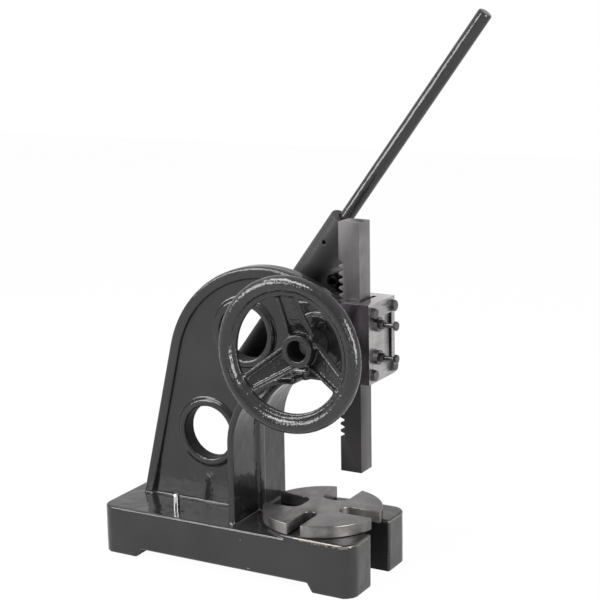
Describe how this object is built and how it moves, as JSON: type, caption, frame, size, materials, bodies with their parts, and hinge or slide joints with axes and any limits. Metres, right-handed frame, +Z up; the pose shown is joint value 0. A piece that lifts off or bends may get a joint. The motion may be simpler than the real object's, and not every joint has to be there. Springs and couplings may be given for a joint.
{
  "type": "ratchet arbor press",
  "caption": "Cast arbor press with a rack ram driven by a pinion, handwheel and ratchet lever over a slotted turning table plate.",
  "frame": {"origin": "on the bench plane under the middle of the base, at the centre of the bench bolt pattern", "axes": "+X to the front of the press, where the ram and table are; +Z up; +Y to the ratchet lever's side, so the handwheel is at -Y"},
  "size_m": [0.6802, 0.2994, 0.9825],
  "materials": {
    "paint": "glossy enamel on cast iron",
    "machined_steel": "ground",
    "dark_steel": "milled and oiled",
    "black_steel": "black oxide",
    "bright_steel": "bright turned",
    "bronze": "turned bearing bronze"
  },
  "bodies": {
    "frame": {"frame_casting": "paint", "base_peg": "bright_steel", "table_pivot_pin": "machined_steel", "ram_cap": "dark_steel", "cap_bolts": "black_steel", "cap_washers": "machined_steel", "gib_strip": "dark_steel", "gib_screws": "black_steel", "gib_lock_nuts": "black_steel", "gib_washers": "dark_steel", "near_bush": "paint", "near_bush_bolts": "black_steel", "far_bush": "paint"},
    "table": {"table_plate": "machined_steel"},
    "ram": {"ram": "machined_steel"},
    "pinion": {"pinion_shaft": "machined_steel", "handwheel": "paint", "handwheel_key": "dark_steel", "handwheel_set_screw": "black_steel", "ratchet_wheel": "dark_steel", "ratchet_key": "dark_steel", "shaft_end_washer": "machined_steel", "shaft_end_bolt": "black_steel"},
    "lever": {"lever_casting": "paint", "lever_bush": "bronze", "handle_bar": "paint", "handle_set_screw": "black_steel", "pawl_pin": "machined_steel", "pawl_pin_ring": "black_steel"},
    "pawl": {"pawl": "black_steel", "pawl_lift_knob": "black_steel"}
  },
  "joints": [
    {"name": "pinion_turn", "type": "hinge", "parent": "frame", "child": "pinion", "pos_m": [0.17372, 0, 0.432], "axis": [0, 1, 0], "range_deg": [-358, 179]},
    {"name": "ram_slide", "type": "slide", "parent": "frame", "child": "ram", "axis": [0, 0, -1], "range_m": [-0.15, 0.075]},
    {"name": "lever_swing", "type": "hinge", "parent": "frame", "child": "lever", "pos_m": [0.17372, 0, 0.432], "axis": [0, 1, 0], "range_deg": [-8, 75]},
    {"name": "pawl_lift", "type": "hinge", "parent": "lever", "child": "pawl", "pos_m": [0.13836, 0, 0.51211], "axis": [0, 1, 0], "range_deg": [-30, 0]},
    {"name": "table_turn", "type": "hinge", "parent": "frame", "child": "table", "pos_m": [0.1465, 0, 0.1], "axis": [0, 0, 1], "continuous": true}
  ],
  "couplings": [
    {"joint": "ram_slide", "follows": "pinion_turn", "m_per_rad": 0.024}
  ]
}
